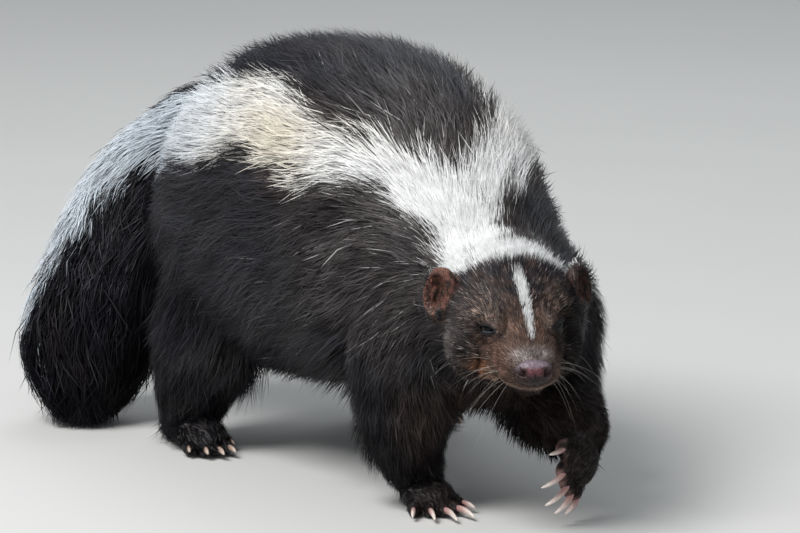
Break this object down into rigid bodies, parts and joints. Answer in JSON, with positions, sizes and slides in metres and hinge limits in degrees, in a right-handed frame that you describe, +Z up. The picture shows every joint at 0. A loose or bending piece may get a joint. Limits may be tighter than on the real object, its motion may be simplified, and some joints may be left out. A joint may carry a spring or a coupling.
{
  "type": "striped skunk",
  "caption": "Life-size still striped skunk, walking with its head low and its left forepaw lifted, with a bushy black and white tail.",
  "frame": {"origin": "on the floor below the middle of the bounding box", "axes": "+X the way the body faces, +Y the animal's left, +Z up"},
  "size_m": [0.4796, 0.2393, 0.242],
  "materials": {
    "coat": "long glossy black fur with white stripes",
    "face_coat": "short brown-black fur with a white blaze and cap",
    "ear_skin": "short fur over reddish-brown skin",
    "nose_skin": "moist mauve-pink skin",
    "eye": "dark, wet and glossy",
    "claw": "smooth pinkish ivory horn"
  },
  "bodies": {
    "root": {"head": "face_coat", "neck": "coat", "torso": "coat", "tail": "coat", "ear_left": "ear_skin", "ear_right": "ear_skin", "eye_left": "eye", "eye_right": "eye", "nose": "nose_skin", "foreleg_left": "coat", "foreleg_right": "coat", "hindleg_left": "coat", "hindleg_right": "coat", "forepaw_left": "coat", "forepaw_right": "coat", "hindpaw_left": "coat", "hindpaw_right": "coat", "claw_forepaw_left_1": "claw", "claw_forepaw_left_2": "claw", "claw_forepaw_left_3": "claw", "claw_forepaw_left_4": "claw", "claw_forepaw_left_5": "claw", "claw_forepaw_right_1": "claw", "claw_forepaw_right_2": "claw", "claw_forepaw_right_3": "claw", "claw_forepaw_right_4": "claw", "claw_forepaw_right_5": "claw", "claw_hindpaw_left_1": "claw", "claw_hindpaw_left_2": "claw", "claw_hindpaw_left_3": "claw", "claw_hindpaw_left_4": "claw", "claw_hindpaw_left_5": "claw", "claw_hindpaw_right_1": "claw", "claw_hindpaw_right_2": "claw", "claw_hindpaw_right_3": "claw", "claw_hindpaw_right_4": "claw", "claw_hindpaw_right_5": "claw"}
  },
  "joints": []
}
